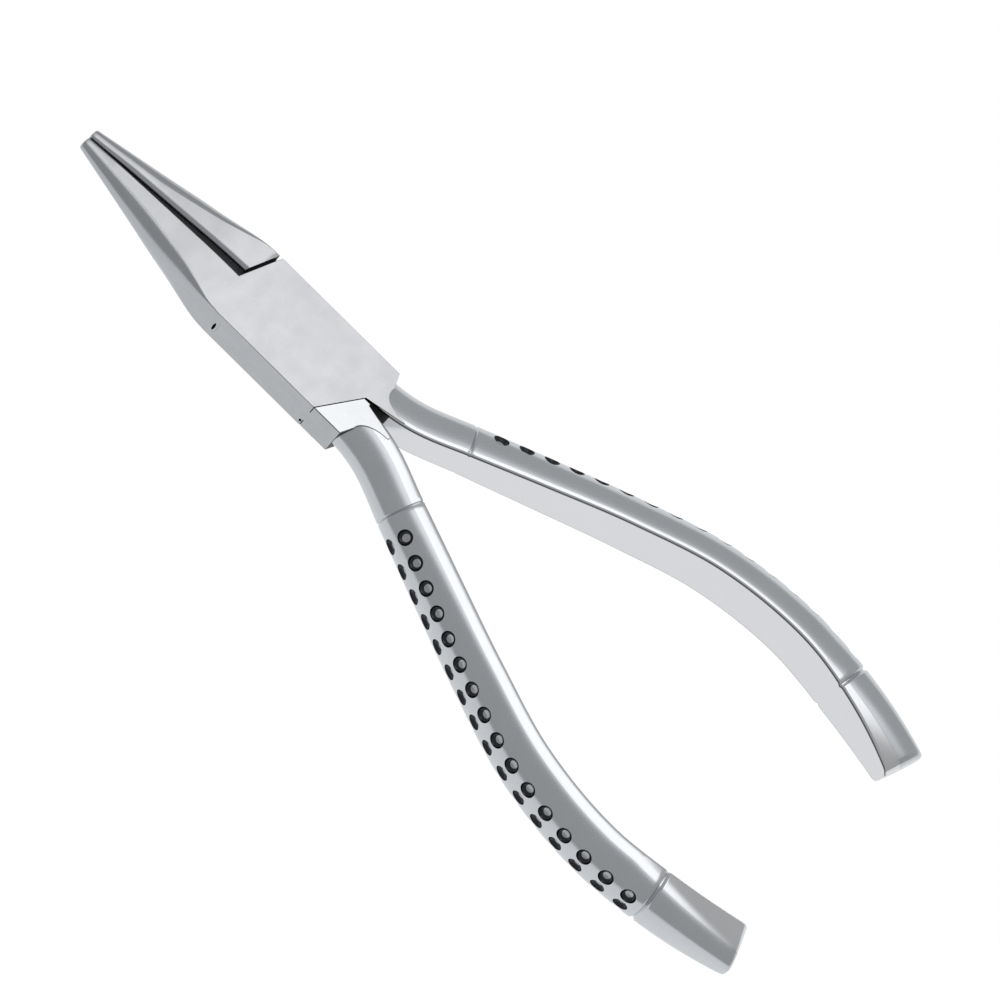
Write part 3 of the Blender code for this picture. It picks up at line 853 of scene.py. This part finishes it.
def handle_ring(path, distance, side, groove=0.0, inset=0.0, drop=0.0):
    """A D-shaped ring: flat inner face, filleted inner corners, crowned outer side."""
    fillet = settings().handle.fillet
    place, outward, back = path_frame(path, distance)
    width, half, nose = section_size(back)
    power = mix(settings().handle.crown_power, settings().handle.nose_power, nose)
    roll = settings().handle.nose_roll * nose
    inset += SKIN
    half -= inset + groove + drop
    corner = inset - width / 2 + fillet
    reach = width - 2 * inset - fillet - groove
    lower = []
    for step in range(FILLET_STEPS):
        turn = math.pi / 2 * step / FILLET_STEPS
        lower.append((corner - fillet * math.cos(turn), fillet * (1 - math.sin(turn)) - half))
    crown = []
    for step in range(CROWN_STEPS + 1):
        share = 2 * step / CROWN_STEPS - 1
        turn = math.copysign(abs(share) ** (1 + NOSE_SPREAD * nose), share) * math.pi / 2
        lateral, height = crown_point(turn, reach, half, power)
        crown.append((corner + lateral, height))
    upper = [(lateral, -height) for lateral, height in reversed(lower)]
    ring = []
    for lateral, height in lower + crown + upper:
        fall = roll * max(1 - (lateral + width / 2) / (ROLL_SHARE * width), 0.0) ** 2
        height -= math.copysign(fall * min(abs(height) / half, 1.0), height)
        ring.append(leaned(side, place + outward * lateral, height))
    return ring


def make_handle(side, path):
    """One handle with its two grooves, from inside the block to its rounded end."""
    handle = settings().handle
    grip = settings().grip
    end = path[-1][0] - 2 * SKIN
    usable = end - handle.end_round
    grooves = [path_distance(path, back) for back in (grip.groove_front, grip.groove_rear)]
    stations = {}
    for step in range(HANDLE_STATIONS + 1):
        distance = usable * step / HANDLE_STATIONS
        if all(abs(distance - groove) > max(grip.groove_widths) / 2 for groove in grooves):
            stations[distance] = (0.0, 0.0, 0.0)
    for groove, width, deepest in zip(grooves, grip.groove_widths, grip.groove_depths):
        for share, depth in GROOVE_PROFILE:
            stations[groove + share * width / 2] = (depth * deepest, 0.0, 0.0)
    for step in range(1, END_STEPS + 1):
        turn = math.pi / 2 * step / END_STEPS
        distance = usable + handle.end_round * math.sin(turn)
        past = max((distance - end) / handle.end_fillet + 1.0, 0.0)
        inset = handle.end_fillet * (1 - math.sqrt(max(1.0 - past * past, 0.0)))
        stations[distance] = (0.0, inset, handle.end_round * (1 - math.cos(turn)))
    rings = []
    for distance in sorted(stations):
        groove, inset, drop = stations[distance]
        rings.append(handle_ring(path, distance, side, groove, inset, drop))
    return extruded_form(f"{SIDE_NAMES[side]}_handle", rings, handle_finishes(side))


def dimple_places(side, path):
    """Centre and outward direction of every dimple on one handle."""
    handle = settings().handle
    grip = settings().grip
    first = path_distance(path, grip.groove_front) + grip.margin_front
    last = path_distance(path, grip.groove_rear) - grip.margin_rear
    places = []
    for index in range(grip.dimple_count):
        share = index / (grip.dimple_count - 1)
        place, outward, back = path_frame(path, mix(first, last, share))
        width, half, nose = section_size(back)
        power = mix(handle.crown_power, handle.nose_power, nose)
        reach = width - handle.fillet
        row_height = mix(grip.row_front, grip.row_rear, share)
        for row in DIMPLE_ROWS:
            turn = row * math.asin((row_height / half) ** (power / 2))
            lateral, height = crown_point(turn, reach, half, power)
            across = (lateral / reach) ** (power - 1) / reach
            upward = row * (abs(height) / half) ** (power - 1) / half
            facing = math.atan2(upward, across)
            lateral += handle.fillet - width / 2
            normal = outward * math.cos(facing)
            centre = leaned(side, place + outward * lateral, height)
            places.append((centre, Vector((side * normal.x, normal.y, math.sin(facing)))))
    return places


def make_dimple_balls(side, path, materials):
    """A flattened ball is copied to every dimple and turned, and the copies are joined."""
    grip = settings().grip
    rim = grip.dimple_diameter / 2
    deselect_all()
    bpy.ops.mesh.primitive_uv_sphere_add(
        segments=BALL_SEGMENTS, ring_count=BALL_RINGS, radius=1.0
    )
    first = bpy.context.object
    # The walls take the near black painted shade of the hollows, and the floor the side colour
    give_materials(first, [materials[DIMPLE_SHADE], materials[SIDE_SHADE]])
    for face in first.data.polygons:
        face.material_index = 1 if abs(face.center.z) > DIMPLE_FLOOR else 0
    first.scale = (rim, rim, grip.dimple_depth)
    apply_transform()
    balls = []
    for centre, pole in dimple_places(side, path):
        ball = first.copy()
        ball.data = first.data.copy()
        bpy.context.scene.collection.objects.link(ball)
        ball.rotation_mode = "QUATERNION"
        ball.rotation_quaternion = pole.to_track_quat("Z", "Y")
        ball.location = centre
        balls.append(ball)
    bpy.data.objects.remove(first, do_unlink=True)
    joined = join_pieces(balls, f"{SIDE_NAMES[side]}_dimples")
    apply_transform()
    return joined


# Forming and cutting a half

# How much wider than the pin its hole is, all round
HOLE_GAP = 0.003 * MM

# The two hollows in the joint's side: radius and length, then for each its place forward of
# the pivot and above the back, and its scale up and along
MARK_RADIUS = 0.5 * MM
MARK_LENGTH = 1.4 * MM
MARKS = ((10.66 * MM, 3.1 * MM, 2.3, 0.4), (-6.5 * MM, 1.25 * MM, 0.8, 0.4))


def make_pin_hole(name):
    """A cutter for the pin's hole, a hair wider than the pin."""
    centre = (0.0, 0.0, MIDDLE_Z)
    return add_cylinder(name, PIN_SIDES, PIN_RADIUS + HOLE_GAP, THICKNESS * 2, centre)


def make_side_marks(name):
    """Cutters for the small hollow at the front end of the slot and the one at its rear."""
    side = -settings().joint.width / 2
    marks = []
    for forward, height, up, along in MARKS:
        place = (side, forward, BACK_Z + height)
        scale = (up, along, 1.0)
        mark = add_cylinder(
            name, MARK_SIDES, MARK_RADIUS, MARK_LENGTH, place, math.pi / 2, scale
        )
        marks.append(mark)
    return join_pieces(marks, name)


def form_half(name, outline, side, path, materials):
    """One half before it is cut: a block, the beak on this side and the handle on the other."""
    piece = outlined_plate(name, outline, BACK_Z, FRONT_Z)
    break_rims(piece, settings().joint.edge)
    give_materials(piece, materials)
    for part in (make_beak(side), make_handle(-side, path)):
        give_materials(part, materials)
        combine(piece, part, "UNION")
    return piece


def cut_half(piece, cutters, side, path, materials):
    """Cut with each tool, which leaves milled faces in black painted shade, and then cut the
    handle's dimples.
    """
    for cutter in cutters:
        give_materials(cutter, [materials[SEAM_SHADE]])
        combine(piece, cutter, "DIFFERENCE")
    combine(piece, make_dimple_balls(-side, path, materials), "DIFFERENCE")


# Materials

WHITE = (1.0, 1.0, 1.0, 1.0)

# The inputs A and B and the output of a Mix node that mixes colours
MIX_FIRST = 6
MIX_SECOND = 7
MIX_RESULT = 2

# The grain's length for its width, the noise values that vary the gloss, and its dents. Real
# grain is too fine to show, so it is drawn about as wide as a pixel of the photograph
GRAIN_STRETCH = 14.0
GRAIN_LOW = 0.3
GRAIN_HIGH = 0.7
GRAIN_ROUGHNESS = 0.6
BUMP_STRENGTH = 0.35

# Size and roughness of the cloudy patches that vary the tone
CLOUD_SIZE = 3.5 * MM
CLOUD_ROUGHNESS = 0.55
NOISE_DETAIL = 3.0

# Strength of the floor's own white, and its share where the camera or the steel sees it
FLOOR_WHITE = 1.03
FLOOR_WHITE_SHARE = 0.97


def node(tree, kind, inputs=None, **attributes):
    """Add a node with its attributes. Each input is a value, or a socket that is linked."""
    made = tree.nodes.new(kind)
    for key, value in attributes.items():
        setattr(made, key, value)
    for key, value in (inputs or {}).items():
        if isinstance(value, bpy.types.NodeSocket):
            tree.links.new(value, made.inputs[key])
        else:
            made.inputs[key].default_value = value
    return made


def empty_tree(owner):
    """The node tree of a material or a world, with nothing in it."""
    owner.use_nodes = True
    owner.node_tree.nodes.clear()
    return owner.node_tree


def steel(name, base, direction, roughness, patches, grain_mm, bump_mm, uneven=0.18):
    """Stainless steel with a fine grain in one direction, left by the last abrasive.

    patches is how much the cloudy patches darken it, and uneven how much its gloss varies.
    """
    existing = bpy.data.materials.get(name)
    if existing:
        return existing
    material = bpy.data.materials.new(name)
    tree = empty_tree(material)
    place = node(tree, "ShaderNodeTexCoord").outputs["Object"]
    across = 1.0 / (grain_mm * MM)
    along = across / GRAIN_STRETCH
    scale = tuple(along if axis == direction else across for axis in "XYZ")
    mapping = node(tree, "ShaderNodeMapping", {"Vector": place, "Scale": scale})
    grain = node(
        tree,
        "ShaderNodeTexNoise",
        {
            "Vector": mapping.outputs["Vector"],
            "Scale": 1.0,
            "Detail": NOISE_DETAIL,
            "Roughness": GRAIN_ROUGHNESS,
        },
    )
    cloud = node(
        tree,
        "ShaderNodeTexNoise",
        {
            "Vector": place,
            "Scale": 1.0 / CLOUD_SIZE,
            "Detail": NOISE_DETAIL,
            "Roughness": CLOUD_ROUGHNESS,
        },
    )
    darker = tuple(channel * (1.0 - patches) for channel in base)
    tint = node(
        tree,
        "ShaderNodeMix",
        {
            "Factor": cloud.outputs["Fac"],
            MIX_FIRST: (*darker, 1.0),
            MIX_SECOND: (*base, 1.0),
        },
        data_type="RGBA",
    )
    gloss = node(
        tree,
        "ShaderNodeMapRange",
        {
            "Value": grain.outputs["Fac"],
            "From Min": GRAIN_LOW,
            "From Max": GRAIN_HIGH,
            "To Min": roughness * (1 - uneven),
            "To Max": roughness * (1 + uneven),
        },
    )
    bump = node(
        tree,
        "ShaderNodeBump",
        {
            "Height": grain.outputs["Fac"],
            "Strength": BUMP_STRENGTH,
            "Distance": bump_mm * MM,
        },
    )
    shader = node(
        tree,
        "ShaderNodeBsdfPrincipled",
        {
            "Metallic": 1.0,
            "Base Color": tint.outputs[MIX_RESULT],
            "Roughness": gloss.outputs["Result"],
            "Normal": bump.outputs["Normal"],
        },
    )
    node(tree, "ShaderNodeOutputMaterial", {"Surface": shader.outputs["BSDF"]})
    return material


def steel_set():
    """The finishes in slot order, shared by all the pieces.

    After the direction of the grain come roughness, patches, grain width and depth of the
    dents in millimetres, and for the cheeks an evener gloss.
    """
    finish = settings().finish
    return [
        # Surface-ground flat faces: even and light, with faint clouds
        steel("ground_cheek_steel", finish.cheek, "Y", 0.28, 0.24, 0.16, 0.0002, 0.03),
        # Buffed round corners of the beaks: light and dark bands along the cones
        steel("polished_beak_steel", finish.beak, "Y", 0.27, 0.08, 0.12, 0.001),
        # Buffed strips, seam edge, left neck face and inner faces of the handles: they mirror
        # the lamp as white
        steel("polished_edge_steel", finish.strip, "Y", 0.16, 0.04, 0.14, 0.001),
        # Belt-ground sides: mid grey, darkened as painted shade of the shadowed floor they mirror,
        # also on the floors of the dimples
        steel("ground_side_painted_shade_steel", finish.side, "Z", 0.33, 0.10, 0.18, 0.006),
        # Fine satin on the crowned handles: grey, with one soft light band along them
        steel("satin_grip_steel", finish.grip, "Z", 0.24, 0.07, 0.12, 0.003),
        # Dimple walls: near black rings of painted shade in the hollows
        steel("dimple_painted_shade_steel", finish.dimple, "X", 0.26, 0.10, 0.12, 0.002),
        # Milled faces inside the joint and the side hollows: black gaps of painted shade
        steel("milled_seam_painted_shade_steel", finish.seam, "X", 0.45, 0.10, 0.15, 0.004),
        # Inner faces of the beaks, flats of the tongue and slot, and the inner corners of the
        # handles:
        # dark grey painted shade in the slit and gaps, and a painted dark line at the corners
        steel("inner_painted_shade_steel", finish.inner, "X", 0.35, 0.10, 0.15, 0.003),
    ]


def floor_material():
    """Pale matt floor that shows white to the camera and in the steel, with a soft shadow."""
    material = bpy.data.materials.new("pale_studio_floor")
    tree = empty_tree(material)
    matt = node(tree, "ShaderNodeBsdfDiffuse", {"Color": (*settings().finish.floor, 1.0)})
    white = node(tree, "ShaderNodeEmission", {"Color": WHITE, "Strength": FLOOR_WHITE})
    rays = node(tree, "ShaderNodeLightPath")
    seen = rays.outputs["Is Camera Ray"]
    for ray in ("Is Glossy Ray", "Is Transmission Ray"):
        either = {0: seen, 1: rays.outputs[ray]}
        seen = node(tree, "ShaderNodeMath", either, operation="MAXIMUM").outputs["Value"]
    share = node(tree, "ShaderNodeMath", {0: seen, 1: FLOOR_WHITE_SHARE}, operation="MULTIPLY")
    mixed = node(
        tree,
        "ShaderNodeMixShader",
        {0: share.outputs["Value"], 1: matt.outputs["BSDF"], 2: white.outputs["Emission"]},
    )
    node(tree, "ShaderNodeOutputMaterial", {"Surface": mixed.outputs["Shader"]})
    return material


# Light, floor and camera

# The floor's width, and how far it lies below the lowest point
FLOOR_SIZE = 6.0
FLOOR_GAP = 0.05 * MM

# The room's brightness left and right, and the sines between which it changes
ROOM_LEFT = 0.48
ROOM_RIGHT = 0.54
ROOM_CHANGE = (0.2, 0.8)

# The lamp's middle and half sizes as sines of the angle from overhead, where it starts to
# fade as a share of its size, and its strength
LAMP_MIDDLE = (0.28, 0.04)
LAMP_HALF = (0.29, 0.50)
LAMP_EDGE = 0.55
LAMP_STRENGTH = 1.05

# The photograph's view: its angle, its scale, and how the long axis lies in the picture
CAMERA_TILT = math.radians(27.0)
CAMERA_DISTANCE = 0.75
IMAGE_PIXELS = 1000
METRES_PER_PIXEL = 0.1358 * MM
PIVOT_PIXEL = Vector((301.0, 351.3))
DOWN_HANDLE = Vector((0.7115, 0.7027))

# The sensor in millimetres, and the nearest and farthest that is seen in metres
SENSOR_WIDTH = 36.0
NEAREST = 0.05
FARTHEST = 20.0


def build_world():
    """A grey studio room with one large soft lamp overhead, a little to the right."""
    world = bpy.data.worlds.new("studio_room")
    bpy.context.scene.world = world
    tree = empty_tree(world)
    toward = node(tree, "ShaderNodeTexCoord").outputs["Generated"]
    split = node(tree, "ShaderNodeSeparateXYZ", {"Vector": toward})
    room = node(
        tree,
        "ShaderNodeMapRange",
        {
            "Value": split.outputs["X"],
            "From Min": ROOM_CHANGE[0],
            "From Max": ROOM_CHANGE[1],
            "To Min": ROOM_LEFT,
            "To Max": ROOM_RIGHT,
        },
        interpolation_type="SMOOTHSTEP",
    )
    spread = node(
        tree,
        "ShaderNodeMapping",
        {
            "Vector": toward,
            "Location": (-LAMP_MIDDLE[0] / LAMP_HALF[0], -LAMP_MIDDLE[1] / LAMP_HALF[1], 0.0),
            "Scale": (1 / LAMP_HALF[0], 1 / LAMP_HALF[1], 0.0),
        },
    )
    away = node(tree, "ShaderNodeVectorMath", {0: spread.outputs["Vector"]}, operation="LENGTH")
    lamp = node(
        tree,
        "ShaderNodeMapRange",
        {
            "Value": away.outputs["Value"],
            "From Min": LAMP_EDGE,
            "From Max": 1.0,
            "To Min": LAMP_STRENGTH,
            "To Max": 0.0,
        },
        interpolation_type="SMOOTHSTEP",
    )
    both = {0: room.outputs["Result"], 1: lamp.outputs["Result"]}
    total = node(tree, "ShaderNodeMath", both, operation="ADD").outputs["Value"]
    light = node(tree, "ShaderNodeBackground", {"Color": WHITE, "Strength": total})
    node(tree, "ShaderNodeOutputWorld", {"Surface": light.outputs["Background"]})


def build_camera():
    """A long lens at the photograph's angle to the front cheek."""
    toward = Vector((-math.sin(CAMERA_TILT), 0.0, math.cos(CAMERA_TILT)))
    across = Vector((math.cos(CAMERA_TILT), 0.0, math.sin(CAMERA_TILT)))
    back = Vector((0.0, -1.0, 0.0))
    right = back * DOWN_HANDLE.x + across * DOWN_HANDLE.y
    up = -(back * DOWN_HANDLE.y) + across * DOWN_HANDLE.x
    centre = Vector((IMAGE_PIXELS / 2, IMAGE_PIXELS / 2))
    offset = (centre - PIVOT_PIXEL) * METRES_PER_PIXEL
    target = Vector((0.0, 0.0, MIDDLE_Z)) + right * offset.x - up * offset.y
    deselect_all()
    bpy.ops.object.camera_add(location=target + toward * CAMERA_DISTANCE)
    camera = bpy.context.object
    camera.name = "photo_camera"
    camera.rotation_mode = "QUATERNION"
    camera.rotation_quaternion = Matrix((right, up, toward)).transposed().to_quaternion()
    camera.data.sensor_width = SENSOR_WIDTH
    camera.data.lens = SENSOR_WIDTH * CAMERA_DISTANCE / (METRES_PER_PIXEL * IMAGE_PIXELS)
    camera.data.clip_start = NEAREST
    camera.data.clip_end = FARTHEST
    bpy.context.scene.camera = camera


# Operators


class PLIERS_OT_build_box_half(bpy.types.Operator):
    """Build the half with the left beak, the two cheeks and the right handle"""

    bl_idname = "pliers.build_box_half"
    bl_label = "Build Box Half"

    def execute(self, context):
        joint = settings().joint
        materials = steel_set()
        path = sample_path()
        piece = form_half("box_block", box_outline(), LEFT, path, materials)
        slot_half = joint.tongue_thickness / 2 + joint.slide_gap
        low, high = MIDDLE_Z - slot_half, MIDDLE_Z + slot_half
        cutters = [
            outlined_plate("tongue_slot", slot_outline(), low, high),
            make_pin_hole("cheek_hole"),
            make_side_marks("side_marks"),
        ]
        cut_half(piece, cutters, LEFT, path, materials)
        paint_joint(piece, CHEEK)
        finish_piece(piece, "box_half_forging", "box_side", "box_half")
        return {"FINISHED"}


class PLIERS_OT_build_tongue_half(bpy.types.Operator):
    """Build the half with the right beak, the tongue and the left handle"""

    bl_idname = "pliers.build_tongue_half"
    bl_label = "Build Tongue Half"

    def execute(self, context):
        materials = steel_set()
        path = sample_path()
        piece = form_half("tongue_block", tongue_outline(), RIGHT, path, materials)
        outline = pocket_outline()
        high = MIDDLE_Z + settings().joint.tongue_thickness / 2
        low = MIDDLE_Z - settings().joint.tongue_thickness / 2
        cutters = [
            outlined_plate("front_pocket", outline, high, MIDDLE_Z + THICKNESS),
            outlined_plate("back_pocket", outline, MIDDLE_Z - THICKNESS, low),
            make_pin_hole("tongue_hole"),
        ]
        cut_half(piece, cutters, RIGHT, path, materials)
        break_seam_edge(piece)
        paint_joint(piece, EDGE)
        finish_piece(piece, "tongue_half_forging", "tongue_side", "tongue_half")
        return {"FINISHED"}


class PLIERS_OT_build_pivot_pin(bpy.types.Operator):
    """Build the pin, ground flush with both cheeks"""

    bl_idname = "pliers.build_pivot_pin"
    bl_label = "Build Pivot Pin"

    def execute(self, context):
        centre = (0.0, 0.0, MIDDLE_Z)
        piece = add_cylinder("pivot_pin", PIN_SIDES, PIN_RADIUS, THICKNESS, centre)
        give_materials(piece, [steel_set()[CHEEK]])
        finish_piece(piece, "ground_pivot_pin", "box_side", "pivot_pin")
        return {"FINISHED"}


class PLIERS_OT_build_stage(bpy.types.Operator):
    """Build the floor, the studio light and the camera"""

    bl_idname = "pliers.build_stage"
    bl_label = "Build Stage"

    def execute(self, context):
        deselect_all()
        below = (0.0, 0.0, CAD_LOW[2] - FLOOR_GAP)
        bpy.ops.mesh.primitive_plane_add(size=FLOOR_SIZE, location=below)
        floor = bpy.context.object
        floor.name = "studio_floor"
        floor.data.materials.append(floor_material())
        build_world()
        build_camera()
        context.scene.view_settings.view_transform = "Standard"
        return {"FINISHED"}


# Panel and registration


class PLIERS_PT_panel(bpy.types.Panel):
    """Buttons for every piece of the pliers"""

    bl_label = "Pliers"
    bl_idname = "PLIERS_PT_panel"
    bl_space_type = "VIEW_3D"
    bl_region_type = "UI"
    bl_category = "Pliers"

    def draw(self, context):
        for operator in OPERATORS:
            self.layout.operator(operator.bl_idname)
        pliers = context.scene.pliers
        for group in (pliers.joint, pliers.beak, pliers.handle, pliers.grip, pliers.finish):
            box = self.layout.box()
            for key in group.bl_rna.properties.keys():
                if key not in ("rna_type", "name"):
                    box.prop(group, key)


OPERATORS = (
    PLIERS_OT_build_box_half,
    PLIERS_OT_build_tongue_half,
    PLIERS_OT_build_pivot_pin,
    PLIERS_OT_build_stage,
)
CLASSES = (
    PliersJointSizes,
    PliersBeakSizes,
    PliersHandleSizes,
    PliersGripSizes,
    PliersFinish,
    PliersSettings,
    *OPERATORS,
    PLIERS_PT_panel,
)


def register():
    for item in CLASSES:
        bpy.utils.register_class(item)
    bpy.types.Scene.pliers = PointerProperty(type=PliersSettings)


def unregister():
    del bpy.types.Scene.pliers
    for item in reversed(CLASSES):
        bpy.utils.unregister_class(item)


def main():
    register()
    bpy.ops.pliers.build_box_half()
    bpy.ops.pliers.build_tongue_half()
    bpy.ops.pliers.build_pivot_pin()
    bpy.ops.pliers.build_stage()


if __name__ == "__main__":
    main()
